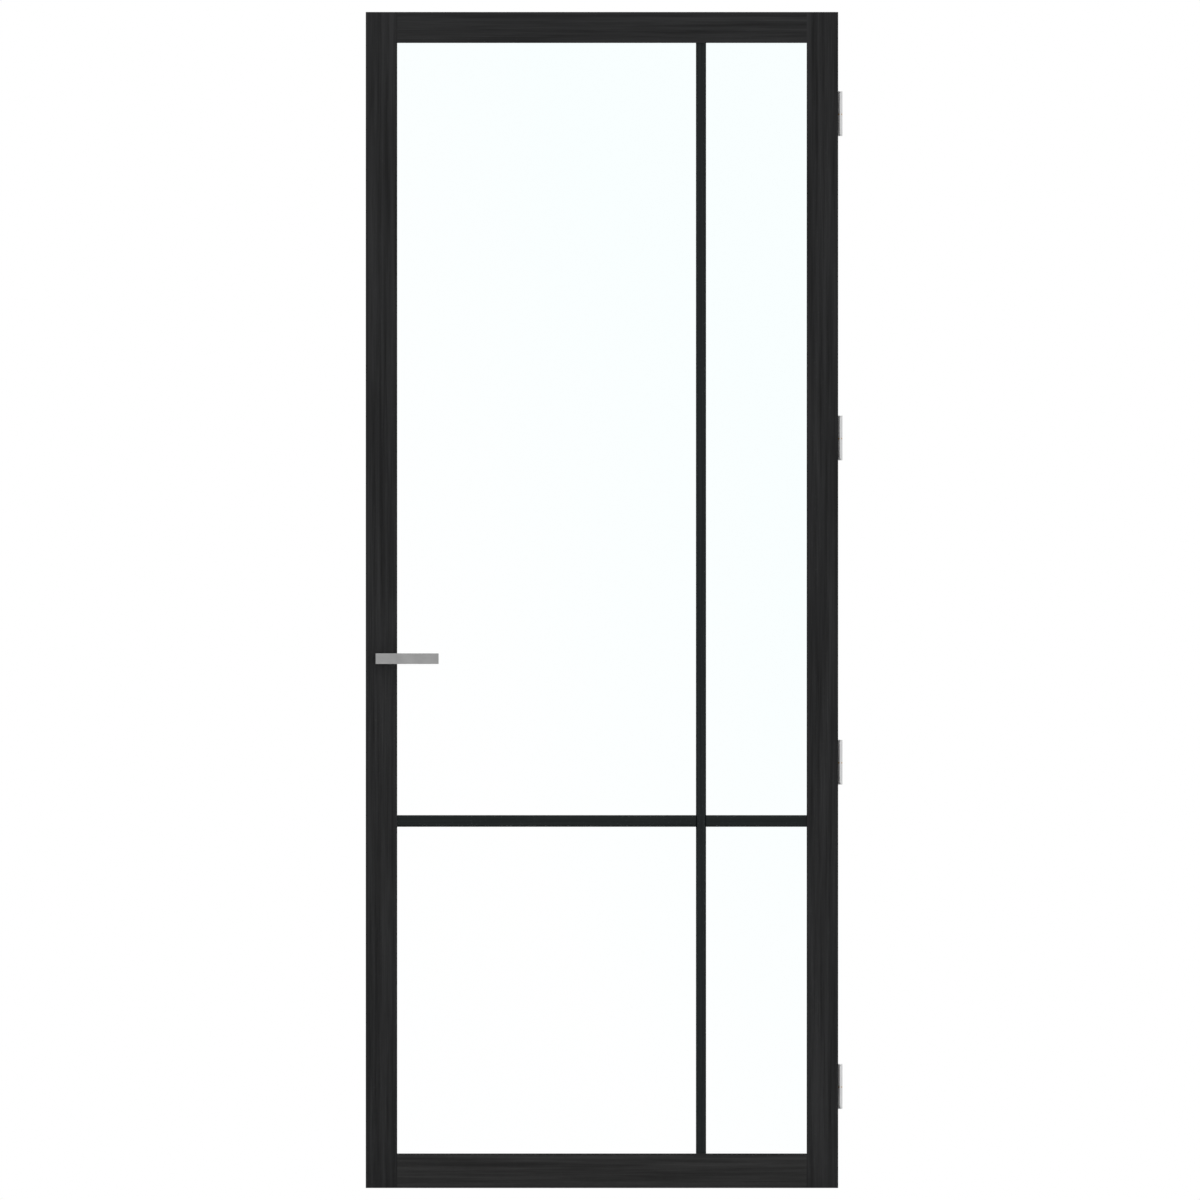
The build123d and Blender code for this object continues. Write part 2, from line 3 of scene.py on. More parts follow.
import bmesh
import bpy
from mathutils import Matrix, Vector


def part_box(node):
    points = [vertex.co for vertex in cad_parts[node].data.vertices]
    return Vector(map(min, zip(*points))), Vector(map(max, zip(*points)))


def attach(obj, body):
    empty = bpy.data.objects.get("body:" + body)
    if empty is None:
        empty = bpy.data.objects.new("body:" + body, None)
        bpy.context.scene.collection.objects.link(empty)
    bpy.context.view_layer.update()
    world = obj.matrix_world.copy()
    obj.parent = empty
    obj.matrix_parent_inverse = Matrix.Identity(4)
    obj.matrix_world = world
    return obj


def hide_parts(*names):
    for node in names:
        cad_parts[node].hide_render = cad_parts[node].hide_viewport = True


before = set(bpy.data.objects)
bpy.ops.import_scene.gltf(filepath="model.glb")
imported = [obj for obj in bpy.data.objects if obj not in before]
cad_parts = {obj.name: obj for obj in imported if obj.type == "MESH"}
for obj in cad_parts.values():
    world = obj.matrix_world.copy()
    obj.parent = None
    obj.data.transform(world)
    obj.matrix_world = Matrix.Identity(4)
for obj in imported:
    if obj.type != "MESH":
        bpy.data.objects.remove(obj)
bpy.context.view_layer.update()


# The two uprights of the frame. Each is one straight length of engineered timber, rebated behind
# its front lip for the glass, sanded, and sprayed with a satin black lacquer that is thin enough
# for the grain to show as faint streaks. They run the full height, and the rails stand between.
def grained_lacquer(name, run, dark, pale, streak_width, drift):
    """Thin satin lacquer on straight-grained timber, whose streaks run along one axis."""
    finish = bpy.data.materials.new(name)
    finish.use_nodes = True
    nodes, links = finish.node_tree.nodes, finish.node_tree.links
    shader = nodes["Principled BSDF"]
    shader.inputs["Specular IOR Level"].default_value = 0.16
    place = nodes.new("ShaderNodeTexCoord")

    def streaks(width, length, detail):
        """Noise drawn out along the grain, with its features this wide and this long."""
        stretch = nodes.new("ShaderNodeMapping")
        stretch.inputs["Location"].default_value = drift
        stretch.inputs["Scale"].default_value = [
            1 / length if axis == run else 1 / width for axis in "XYZ"
        ]
        noise = nodes.new("ShaderNodeTexNoise")
        noise.inputs["Scale"].default_value = 1.0
        noise.inputs["Detail"].default_value = detail
        noise.inputs["Roughness"].default_value = 0.6
        links.new(place.outputs["Object"], stretch.inputs["Vector"])
        links.new(stretch.outputs["Vector"], noise.inputs["Vector"])
        return noise

    broad = streaks(streak_width, 0.42, 3)
    fine = streaks(streak_width / 6, 0.07, 3)
    both = nodes.new("ShaderNodeMix")
    both.inputs["Factor"].default_value = 0.3
    links.new(broad.outputs["Fac"], both.inputs["A"])
    links.new(fine.outputs["Fac"], both.inputs["B"])
    tone = nodes.new("ShaderNodeValToRGB")
    tone.color_ramp.elements[0].position = 0.36
    tone.color_ramp.elements[0].color = (*dark, 1)
    tone.color_ramp.elements[1].position = 0.64
    tone.color_ramp.elements[1].color = (*pale, 1)
    links.new(both.outputs["Result"], tone.inputs["Fac"])
    links.new(tone.outputs["Color"], shader.inputs["Base Color"])

    cloud = nodes.new("ShaderNodeTexNoise")
    cloud.inputs["Scale"].default_value = 9.0
    cloud.inputs["Detail"].default_value = 2.0
    links.new(place.outputs["Object"], cloud.inputs["Vector"])
    gloss = nodes.new("ShaderNodeMapRange")
    gloss.inputs["To Min"].default_value = 0.4
    gloss.inputs["To Max"].default_value = 0.54
    links.new(cloud.outputs["Fac"], gloss.inputs["Value"])
    links.new(gloss.outputs["Result"], shader.inputs["Roughness"])

    peel = nodes.new("ShaderNodeTexNoise")
    peel.inputs["Scale"].default_value = 420.0
    peel.inputs["Detail"].default_value = 1.0
    links.new(place.outputs["Object"], peel.inputs["Vector"])
    pores = nodes.new("ShaderNodeBump")
    pores.inputs["Strength"].default_value = 0.35
    pores.inputs["Distance"].default_value = 0.0002
    spray = nodes.new("ShaderNodeBump")
    spray.inputs["Strength"].default_value = 0.12
    spray.inputs["Distance"].default_value = 0.0002
    links.new(fine.outputs["Fac"], pores.inputs["Height"])
    links.new(peel.outputs["Fac"], spray.inputs["Height"])
    links.new(pores.outputs["Normal"], spray.inputs["Normal"])
    links.new(spray.outputs["Normal"], shader.inputs["Normal"])
    return finish


def dress(node, finish):
    """Gives a CAD node its finish."""
    for held_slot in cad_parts[node].material_slots:
        held_slot.material = finish


member_streak = 0.009
upright_lacquer = grained_lacquer(
    "lacquer_on_uprights",
    "Z",
    dark=(0.0030, 0.0031, 0.0034),
    pale=(0.0190, 0.0192, 0.0200),
    streak_width=member_streak,
    drift=(0, 0, 0),
)
for upright in ("lock_stile", "hinge_stile"):
    dress(upright, upright_lacquer)


# The two rails, coped at their ends over the front lips of the uprights and drawn against them
# on loose tenons. Their grain runs across the door. Their lacquer is painted a shade lighter than
# the uprights', the bottom rail's lighter still: a painted sheen, so the butt joint shows as a
# change of tone. Each has its own run of grain.
# Painted sheen: each rail gets a lighter copy of the uprights' lacquer, the bottom rail the
# lightest.
for rail, dark, pale, drift in (
    ("top_rail", (0.0044, 0.0046, 0.0049), (0.0206, 0.0209, 0.0215), (3, 1, 2)),
    ("bottom_rail", (0.0085, 0.0085, 0.0085), (0.0266, 0.0266, 0.0266), (8, 4, 6)),
):
    dress(rail, grained_lacquer(f"lacquer_on_{rail}", "X", dark, pale, member_streak, drift))


# Loose tenons of planed beech, glued half in the rail and half in the upright at each corner.
# Nothing of them shows once the frame is together.
beech = bpy.data.materials.new("planed_beech")
beech.use_nodes = True
beech_nodes, beech_links = beech.node_tree.nodes, beech.node_tree.links
beech_shader = beech_nodes["Principled BSDF"]
beech_shader.inputs["Roughness"].default_value = 0.62
beech_place = beech_nodes.new("ShaderNodeTexCoord")
beech_stretch = beech_nodes.new("ShaderNodeMapping")
beech_stretch.inputs["Scale"].default_value = (12, 260, 260)
beech_flecks = beech_nodes.new("ShaderNodeTexNoise")
beech_flecks.inputs["Scale"].default_value = 1.0
beech_flecks.inputs["Detail"].default_value = 5.0
beech_tone = beech_nodes.new("ShaderNodeValToRGB")
beech_tone.color_ramp.elements[0].color = (0.45, 0.29, 0.16, 1)
beech_tone.color_ramp.elements[1].color = (0.64, 0.46, 0.28, 1)
beech_links.new(beech_place.outputs["Object"], beech_stretch.inputs["Vector"])
beech_links.new(beech_stretch.outputs["Vector"], beech_flecks.inputs["Vector"])
beech_links.new(beech_flecks.outputs["Fac"], beech_tone.inputs["Fac"])
beech_links.new(beech_tone.outputs["Color"], beech_shader.inputs["Base Color"])
dress("corner_tenons", beech)


# What the glass is bedded in: closed-cell black foam tape on both its faces, pressed between it
# and the frame's lip in front, the beads behind and the glued bars, and two hard plastic setting
# blocks on the floor of the rebate, which carry the pane.
def moulded(name, low, high, roughness, grain):
    """Plain moulded or foamed material with a small even mottle."""
    finish = bpy.data.materials.new(name)
    finish.use_nodes = True
    nodes, links = finish.node_tree.nodes, finish.node_tree.links
    shader = nodes["Principled BSDF"]
    shader.inputs["Roughness"].default_value = roughness
    shader.inputs["Specular IOR Level"].default_value = 0.25
    place = nodes.new("ShaderNodeTexCoord")
    mottle = nodes.new("ShaderNodeTexNoise")
    mottle.inputs["Scale"].default_value = grain
    mottle.inputs["Detail"].default_value = 3.0
    tone = nodes.new("ShaderNodeValToRGB")
    tone.color_ramp.elements[0].position = 0.35
    tone.color_ramp.elements[0].color = (*low, 1)
    tone.color_ramp.elements[1].position = 0.7
    tone.color_ramp.elements[1].color = (*high, 1)
    cells = nodes.new("ShaderNodeBump")
    cells.inputs["Strength"].default_value = 0.3
    cells.inputs["Distance"].default_value = 0.0001
    links.new(place.outputs["Object"], mottle.inputs["Vector"])
    links.new(mottle.outputs["Fac"], tone.inputs["Fac"])
    links.new(tone.outputs["Color"], shader.inputs["Base Color"])
    links.new(mottle.outputs["Fac"], cells.inputs["Height"])
    links.new(cells.outputs["Normal"], shader.inputs["Normal"])
    return finish


foam = moulded("black_foam_tape", (0.008, 0.008, 0.008), (0.018, 0.018, 0.018), 0.85, 900)
for tape in ("front_glazing_tape", "rear_glazing_tape", "front_bar_tape", "rear_bar_tape"):
    dress(tape, foam)
dress(
    "setting_blocks",
    moulded("setting_plastic", (0.03, 0.03, 0.03), (0.06, 0.06, 0.06), 0.5, 300),
)


# The pane: one sheet of clear laminated safety glass behind all four fields, set on its blocks
# and bedded in tape. Its colour holds the faint cool cast of clear glass and a painted reflection:
# a diagonal gradient, almost colourless at its lower left and coolest at its upper right, with
# soft bands across it, stands in for the studio mirrored in the glass.
clear_glass = bpy.data.materials.new("clear_safety_glass")
clear_glass.use_nodes = True
glass_nodes, glass_links = clear_glass.node_tree.nodes, clear_glass.node_tree.links
glass_shader = glass_nodes["Principled BSDF"]
glass_shader.inputs["Transmission Weight"].default_value = 1.0
glass_shader.inputs["Roughness"].default_value = 0.0
glass_shader.inputs["IOR"].default_value = 1.5
glass_place = glass_nodes.new("ShaderNodeTexCoord")
# Painted reflection: the tint grows along a diagonal and wavers in soft bands, in place of the
# studio mirrored in the pane.
glass_painted_reflection_slope = glass_nodes.new("ShaderNodeVectorMath")
glass_painted_reflection_slope.operation = "DOT_PRODUCT"
glass_painted_reflection_slope.inputs[1].default_value = (1.05, 0, 0.556)
glass_lay = glass_nodes.new("ShaderNodeMapping")
glass_lay.inputs["Rotation"].default_value = (0, radians(-28), 0)
glass_lay.inputs["Scale"].default_value = (2.4, 1.0, 0.8)
glass_painted_reflection_bands = glass_nodes.new("ShaderNodeTexNoise")
glass_painted_reflection_bands.inputs["Scale"].default_value = 1.0
glass_painted_reflection_bands.inputs["Detail"].default_value = 1.0
glass_drift = glass_nodes.new("ShaderNodeMapRange")
glass_drift.inputs["To Min"].default_value = -0.3
glass_drift.inputs["To Max"].default_value = 0.0
glass_painted_reflection_level = glass_nodes.new("ShaderNodeMath")
# The ramp runs from almost colourless to the cool cast of clear glass. Where a point falls on it is
# the painted reflection.
glass_tint_and_painted_reflection = glass_nodes.new("ShaderNodeValToRGB")
glass_tint_and_painted_reflection.color_ramp.elements[0].position = 0.0
glass_tint_and_painted_reflection.color_ramp.elements[0].color = (0.996, 0.999, 0.999, 1)
glass_tint_and_painted_reflection.color_ramp.elements[1].position = 1.0
glass_tint_and_painted_reflection.color_ramp.elements[1].color = (0.944, 0.997, 0.999, 1)
glass_links.new(glass_place.outputs["Object"], glass_painted_reflection_slope.inputs[0])
glass_links.new(glass_place.outputs["Object"], glass_lay.inputs["Vector"])
glass_links.new(glass_lay.outputs["Vector"], glass_painted_reflection_bands.inputs["Vector"])
glass_links.new(glass_painted_reflection_bands.outputs["Fac"], glass_drift.inputs["Value"])
glass_links.new(glass_painted_reflection_slope.outputs["Value"], glass_painted_reflection_level.inputs[0])
glass_links.new(glass_drift.outputs["Result"], glass_painted_reflection_level.inputs[1])
glass_links.new(glass_painted_reflection_level.outputs["Value"], glass_tint_and_painted_reflection.inputs["Fac"])
glass_links.new(glass_tint_and_painted_reflection.outputs["Color"], glass_shader.inputs["Base Color"])
glass_path = glass_nodes.new("ShaderNodeLightPath")
glass_passing = glass_nodes.new("ShaderNodeBsdfTransparent")
glass_passing.inputs["Color"].default_value = (0.92, 0.94, 0.94, 1)
glass_choice = glass_nodes.new("ShaderNodeMixShader")
glass_links.new(glass_path.outputs["Is Shadow Ray"], glass_choice.inputs["Fac"])
glass_links.new(glass_shader.outputs["BSDF"], glass_choice.inputs[1])
glass_links.new(glass_passing.outputs["BSDF"], glass_choice.inputs[2])
glass_links.new(
    glass_choice.outputs["Shader"], glass_nodes["Material Output"].inputs["Surface"]
)
dress("glass_pane", clear_glass)


# The glazing beads hold the pane from the back: four lacquered strips with mitred ends and a
# rounded sight edge, pinned into the rebate. Each has its grain along its own length.
bead_streak = 0.005
bead_upright_lacquer = grained_lacquer(
    "lacquer_on_upright_beads",
    "Z",
    dark=(0.0022, 0.0024, 0.0026),
    pale=(0.0172, 0.0176, 0.0182),
    streak_width=bead_streak,
    drift=(7, 2, 5),
)
bead_level_lacquer = grained_lacquer(
    "lacquer_on_level_beads",
    "X",
    dark=(0.0045, 0.0047, 0.0049),
    pale=(0.0200, 0.0203, 0.0208),
    streak_width=bead_streak,
    drift=(5, 6, 1),
)
for bead in ("left_bead", "right_bead"):
    dress(bead, bead_upright_lacquer)
for bead in ("top_bead", "bottom_bead"):
    dress(bead, bead_level_lacquer)


# The pins of the beads: blued steel brads, driven a little below the back of each bead, with
# their holes stopped and sprayed over, so that a low round mark is left every 250 mm or so.
def lone():
    """Leaves nothing selected, so that the next operator acts on its own piece alone."""
    if bpy.context.object and bpy.context.object.mode != "OBJECT":
        bpy.ops.object.mode_set(mode="OBJECT")
    bpy.ops.object.select_all(action="DESELECT")


def settle(piece):
    """Puts a piece's place, turn and size into its mesh."""
    lone()
    piece.select_set(True)
    bpy.context.view_layer.objects.active = piece
    bpy.ops.object.transform_apply(location=True, rotation=True, scale=True)
    return piece


def turned(name, radius, start, end, sides=64, end_radius=None):
    """Turned blank between two points on an axis, straight or tapered."""
    start, end = Vector(start), Vector(end)
    lone()
    bpy.ops.mesh.primitive_cone_add(
        vertices=sides,
        radius1=radius,
        radius2=radius if end_radius is None else end_radius,
        depth=(end - start).length,
        location=(start + end) / 2,
        rotation=(end - start).to_track_quat("Z", "Y").to_euler(),
    )
    piece = bpy.context.object
    piece.name = name
    return settle(piece)


def copy_of(piece, name):
    """Another of the same piece, with its own mesh."""
    twin = piece.copy()
    twin.data = piece.data.copy()
    twin.name = name
    bpy.context.scene.collection.objects.link(twin)
    return twin


def joined(pieces, name):
    """Like pieces that are kept as one."""
    lone()
    for piece in pieces:
        piece.select_set(True)
    bpy.context.view_layer.objects.active = pieces[0]
    bpy.ops.object.join()
    pieces[0].name = name
    return pieces[0]


def finish_piece(piece, finish, slot, body, *stands_for):
    """Gives a finished piece its material and the body it rides on. The slot is not used."""
    piece.data.materials.clear()
    piece.data.materials.append(finish)
    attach(piece, body)
    if stands_for:
        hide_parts(*stands_for)


def spaced(ends, count):
    """Even places along a bead, with the first and the last set in from its ends."""
    first, last = ends[0] + pin_end_distance, ends[1] - pin_end_distance
    return [first + number * (last - first) / (count - 1) for number in range(count)]


pin_inset, pin_end_distance = 0.0045, 0.09
pins_per_upright, pins_per_level = 9, 4
mark_radius, mark_top_radius, mark_depth, mark_rise = 0.0011, 0.0008, 0.0002, 0.00012
bead_low, bead_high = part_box("left_bead")
far_bead_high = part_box("right_bead")[1]
bead_lines = (bead_low.x + pin_inset, far_bead_high.x - pin_inset)
bead_levels = (bead_low.z + pin_inset, bead_high.z - pin_inset)
stopped_hole = turned(
    "stopped_hole",
    mark_radius,
    (0, bead_high.y - mark_depth, 0),
    (0, bead_high.y + mark_rise, 0),
    20,
    mark_top_radius,
)
pin_marks = []
for mark_z in spaced(bead_levels, pins_per_upright):
    pin_marks += [(line, 0, mark_z) for line in bead_lines]
for mark_x in spaced(bead_lines, pins_per_level):
    pin_marks += [(mark_x, 0, level) for level in bead_levels]
marks = []
for count, spot in enumerate(pin_marks, start=1):
    mark = copy_of(stopped_hole, f"stopped_hole_{count}")
    mark.location = spot
    marks.append(settle(mark))
bpy.data.objects.remove(stopped_hole)
bead_pins = joined(marks, "bead_pins")
bpy.ops.object.shade_smooth_by_angle(angle=radians(35))
stopping = moulded("sprayed_stopping", (0.006, 0.006, 0.0064), (0.012, 0.012, 0.0125), 0.55, 800)
finish_piece(bead_pins, stopping, "black_lacquer", "leaf")


# The glazing bars: flat lacquered strips glued to both faces of the glass, one upright over the
# whole height and a cross bar in two lengths against its sides. Their long edges are bevelled.
bar_streak = 0.004
bar_upright_lacquer = grained_lacquer(
    "lacquer_on_upright_bars",
    "Z",
    dark=(0.0028, 0.0049, 0.0054),
    pale=(0.0104, 0.0135, 0.0141),
    streak_width=bar_streak,
    drift=(2, 9, 4),
)
bar_level_lacquer = grained_lacquer(
    "lacquer_on_cross_bars",
    "X",
    dark=(0.0018, 0.0042, 0.0042),
    pale=(0.0100, 0.0132, 0.0131),
    streak_width=bar_streak,
    drift=(4, 3, 8),
)
for face in ("front", "rear"):
    dress(f"{face}_upright_bar", bar_upright_lacquer)
    for field in ("wide", "narrow"):
        dress(f"{face}_cross_bar_{field}", bar_level_lacquer)


# The latch lock, let into the edge of the lock upright: a pressed steel tray with its cover
# spot-welded on, zinc plated, and inside it the follower that the spindle turns and the square
# bar that joins both levers. None of this shows on the finished door.
def worked_steel(name, run, tone, spread, roughness, grit):
    """Ground or plated steel with fine marks along one axis and faint cloudy wear."""
    finish = bpy.data.materials.new(name)
    finish.use_nodes = True
    nodes, links = finish.node_tree.nodes, finish.node_tree.links
    shader = nodes["Principled BSDF"]
    shader.inputs["Metallic"].default_value = 1.0
    place = nodes.new("ShaderNodeTexCoord")
    stretch = nodes.new("ShaderNodeMapping")
    stretch.inputs["Scale"].default_value = [22 if axis == run else 1 / grit for axis in "XYZ"]
    marks = nodes.new("ShaderNodeTexNoise")
    marks.inputs["Scale"].default_value = 1.0
    marks.inputs["Detail"].default_value = 4.0
    marks.inputs["Roughness"].default_value = 0.7
    wear = nodes.new("ShaderNodeTexNoise")
    wear.inputs["Scale"].default_value = 34.0
    wear.inputs["Detail"].default_value = 2.0
    both = nodes.new("ShaderNodeMix")
    both.inputs["Factor"].default_value = 0.4
    shade = nodes.new("ShaderNodeValToRGB")
    shade.color_ramp.elements[0].position = 0.3
    shade.color_ramp.elements[0].color = (*[tone - spread] * 3, 1)
    shade.color_ramp.elements[1].position = 0.7
    shade.color_ramp.elements[1].color = (*[tone + spread] * 3, 1)
    blur = nodes.new("ShaderNodeMapRange")
    blur.inputs["To Min"].default_value = roughness - 0.06
    blur.inputs["To Max"].default_value = roughness + 0.06
    scratch = nodes.new("ShaderNodeBump")
    scratch.inputs["Strength"].default_value = 0.2
    scratch.inputs["Distance"].default_value = 0.00005
    links.new(place.outputs["Object"], stretch.inputs["Vector"])
    links.new(stretch.outputs["Vector"], marks.inputs["Vector"])
    links.new(place.outputs["Object"], wear.inputs["Vector"])
    links.new(marks.outputs["Fac"], both.inputs["A"])
    links.new(wear.outputs["Fac"], both.inputs["B"])
    links.new(both.outputs["Result"], shade.inputs["Fac"])
    links.new(shade.outputs["Color"], shader.inputs["Base Color"])
    links.new(marks.outputs["Fac"], blur.inputs["Value"])
    links.new(blur.outputs["Result"], shader.inputs["Roughness"])
    links.new(marks.outputs["Fac"], scratch.inputs["Height"])
    links.new(scratch.outputs["Normal"], shader.inputs["Normal"])
    return finish


zinc_plate = worked_steel("zinc_plated_steel", "Z", 0.42, 0.05, 0.42, 0.0008)
for pressing in ("lock_case", "lock_cover", "follower"):
    dress(pressing, zinc_plate)
dress("spindle", worked_steel("drawn_steel", "Y", 0.4, 0.03, 0.3, 0.0003))


# The faceplate closes the lock on the door's edge: a 3 mm strip of satin stainless steel with
# round ends, a slot for the bolt and two countersunk holes, and its cross-head screws.
def block(name, low, high):
    """Squared block between two corners, to be shaped further."""
    low, high = Vector(low), Vector(high)
    lone()
    bpy.ops.mesh.primitive_cube_add(size=1, location=(low + high) / 2)
    piece = bpy.context.object
    piece.name = name
    piece.scale = high - low
    return settle(piece)


def work(piece, tool, operation):
    """Cuts the tool out of a piece, or joins it on, and leaves no tool behind."""
    lone()
    piece.select_set(True)
    bpy.context.view_layer.objects.active = piece
    cut = piece.modifiers.new("work", "BOOLEAN")
    cut.operation = operation
    cut.solver = "EXACT"
    cut.object = tool
    bpy.ops.object.modifier_apply(modifier=cut.name)
    bpy.data.objects.remove(tool)


def choose(piece, kind, wanted):
    """Opens a piece for editing with only the wanted faces or edges selected."""
    lone()
    piece.select_set(True)
    bpy.context.view_layer.objects.active = piece
    bpy.ops.object.mode_set(mode="EDIT")
    bpy.ops.mesh.select_mode(type=kind)
    bpy.ops.mesh.select_all(action="DESELECT")
    shape = bmesh.from_edit_mesh(piece.data)
    for part in shape.faces if kind == "FACE" else shape.edges:
        part.select = wanted(part)
    shape.select_flush_mode()
    bmesh.update_edit_mesh(piece.data)


def middle(edge):
    """Middle of an edge."""
    return (edge.verts[0].co + edge.verts[1].co) / 2


def ease(piece, width, steps=2, angle=35):
    """Closes a mesh, rounds its sharp edges by a width, if any, and shades its flats as flat."""
    lone()
    piece.select_set(True)
    bpy.context.view_layer.objects.active = piece
    bpy.ops.object.mode_set(mode="EDIT")
    bpy.ops.mesh.select_all(action="SELECT")
    bpy.ops.mesh.remove_doubles(threshold=0.000002)
    bpy.ops.mesh.dissolve_limited(angle_limit=radians(0.5))
    bpy.ops.mesh.normals_make_consistent(inside=False)
    bpy.ops.object.mode_set(mode="OBJECT")
    if width:
        soft = piece.modifiers.new("ease", "BEVEL")
        soft.width = width
        soft.segments = steps
        soft.limit_method = "ANGLE"
        soft.angle_limit = radians(angle)
        soft.use_clamp_overlap = False
        bpy.ops.object.modifier_apply(modifier=soft.name)
    bpy.ops.object.shade_smooth_by_angle(angle=radians(angle))
    even = piece.modifiers.new("even", "WEIGHTED_NORMAL")
    even.keep_sharp = True
    bpy.ops.object.modifier_apply(modifier=even.name)


def coned(name, face, inward, sunk, head, shank, length):
    """Turned blank that points into a plate from its face: a 45 degree head and the shank."""
    face, inward = Vector(face), Vector(inward)
    neck = sunk + head - shank
    blank = turned(name, head, face + inward * sunk, face + inward * neck, 40, shank)
    choose(blank, "FACE", lambda end: end.normal.dot(inward) > 0.99)
    bpy.ops.mesh.extrude_region_move(TRANSFORM_OT_translate={"value": inward * (length - neck)})
    lone()
    return blank


def screw_drill(face, inward, shank):
    """Countersinking drill at a point on a plate's face, which starts a little outside it."""
    stand_off, mouth, depth = 0.0003, 0.00455, 0.005
    return coned("drill", face, inward, -stand_off, mouth + stand_off, shank, depth)


def corners(node):
    """Lowest and highest corner of a CAD node, as plain numbers to the micrometre."""
    return [[round(value, 6) for value in corner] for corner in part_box(node)]


near, overshoot = 0.0001, 0.001
(edge_x, _, plate_foot_z), (plate_back_x, plate_radius, plate_top_z) = corners("lock_faceplate")
bolt_low, bolt_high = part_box("latch_bolt")
plate_middle_z = (plate_foot_z + plate_top_z) / 2
plate_half_height, plate_edge_round = 0.087, 0.0003
bolt_gap, plate_screw_reach, plate_hole_radius = 0.0002, 0.072, 0.0023
edge_steel = worked_steel("satin_stainless_edge", "Z", 0.33, 0.03, 0.36, 0.0005)
faceplate = turned(
    "latch_faceplate", plate_radius, (plate_back_x, 0, plate_middle_z), (edge_x, 0, plate_middle_z)
)
for way in (-1, 1):
    choose(faceplate, "EDGE", lambda edge, way=way: way * (middle(edge).z - plate_middle_z) > near)
    bpy.ops.transform.translate(value=(0, 0, way * (plate_half_height - plate_radius)))
bolt_slot = block(
    "bolt_slot",
    (edge_x - overshoot, bolt_low.y - bolt_gap, bolt_low.z - bolt_gap),
    (plate_back_x + overshoot, bolt_high.y + bolt_gap, bolt_high.z + bolt_gap),
)
work(faceplate, bolt_slot, "DIFFERENCE")
screw_heights = (plate_middle_z - plate_screw_reach, plate_middle_z + plate_screw_reach)
for screw_z in screw_heights:
    work(faceplate, screw_drill((edge_x, 0, screw_z), (1, 0, 0), plate_hole_radius), "DIFFERENCE")
ease(faceplate, plate_edge_round)
finish_piece(faceplate, edge_steel, "satin_stainless", "leaf", "lock_faceplate")

screw_steel = worked_steel("turned_screw_steel", "X", 0.36, 0.04, 0.3, 0.0004)


def cross_head_screw(name, face, inward):
    """Countersunk screw whose flat cross-recessed head lies in a plate, at a point on its face."""
    sunk, head, shank, length = 0.00015, 0.00437, 0.0021, 0.0035
    cross_depth, long_arm, short_arm = 0.0013, 0.52 * head, 0.13 * head
    screw = coned(name, face, inward, sunk, head, shank, length)
    face, inward = Vector(face), Vector(inward)
    low_x, high_x = sorted((face.x - overshoot * inward.x, face.x + cross_depth * inward.x))
    for wide, tall in ((long_arm, short_arm), (short_arm, long_arm)):
        arm = block(
            "recess",
            (low_x, face.y - wide, face.z - tall),
            (high_x, face.y + wide, face.z + tall),
        )
        work(screw, arm, "DIFFERENCE")
    ease(screw, 0.0001, 1, 50)
    return screw


plate_screw = cross_head_screw("faceplate_screw_1", (edge_x, 0, screw_heights[0]), (1, 0, 0))
plate_screw_upper = copy_of(plate_screw, "faceplate_screw_2")
plate_screw_upper.location.z = screw_heights[1] - screw_heights[0]
settle(plate_screw_upper)
for screw in (plate_screw, plate_screw_upper):
    finish_piece(screw, screw_steel, "satin_stainless", "leaf")


# The latch bolt, a ground bar of steel with a rounded nose that lies flush in the faceplate until
# the magnet of the strike draws it out. A rib of the lock case guides it by the slot behind.
bolt_nose_round, bolt_edge_round = 0.0012, 0.0002
guide_start_x, guide_end_x, guide_half_height = edge_x + 0.0177, edge_x + 0.0363, 0.0022
bolt_middle_z = (bolt_low.z + bolt_high.z) / 2
latch_bar = block("latch_bar", bolt_low, bolt_high)
choose(latch_bar, "EDGE", lambda edge: all(corner.co.x < edge_x + near for corner in edge.verts))
bpy.ops.mesh.bevel(offset=bolt_nose_round, segments=5, affect="EDGES")
lone()
guide_slot = block(
    "guide_slot",
    (guide_start_x, bolt_low.y - overshoot, bolt_middle_z - guide_half_height),
    (guide_end_x, bolt_high.y + overshoot, bolt_middle_z + guide_half_height),
)
work(latch_bar, guide_slot, "DIFFERENCE")
ease(latch_bar, bolt_edge_round, 1)
bolt_steel = worked_steel("ground_bolt_steel", "Z", 0.30, 0.03, 0.34, 0.0004)
finish_piece(latch_bar, bolt_steel, "satin_stainless", "latch", "latch_bolt")


# The levers: each is one L of square-edged flat bar in satin stainless steel, ground along its
# length, with a round journal at the foot of its neck. They share the spindle, and each is held
# on it by a grub screw from below.
(spindle_left, spindle_end_y, spindle_foot_z), (spindle_right, _, spindle_top_z) = corners("spindle")
lever_corners = corners("front_lever")
(lever_left, lever_face_y, lever_foot_z), (lever_tip_x, journal_end_y, lever_top_z) = lever_corners
flange_face_y = corners("front_lever_bush")[0][1]
spindle_x, spindle_z = (spindle_left + spindle_right) / 2, (spindle_foot_z + spindle_top_z) / 2
lever_bar_depth, neck_width, neck_gap = 0.012, 0.021, 0.0003
elbow_round, lever_edge_round = 0.003, 0.0006
journal_radius, journal_root = 0.0075, 0.002
spindle_gap, spindle_end_gap = 0.00005, 0.0001
grub_radius, grub_sunk, grub_end_gap, grub_distance = 0.0025, 0.0004, 0.0001, 0.012
hex_radius, hex_depth = 0.00145, 0.0024
neck_right = lever_left + neck_width
bar_back_y = lever_face_y + lever_bar_depth
neck_foot_y = flange_face_y - neck_gap
grub_y = neck_foot_y - grub_distance
lever_steel = worked_steel("satin_stainless_lever", "X", 0.326, 0.06, 0.4, 0.0005)
front_lever = block(
    "flat_lever_front",
    (lever_left, lever_face_y, lever_foot_z),
    (neck_right, neck_foot_y, lever_top_z),
)
choose(front_lever, "FACE", lambda face: True)
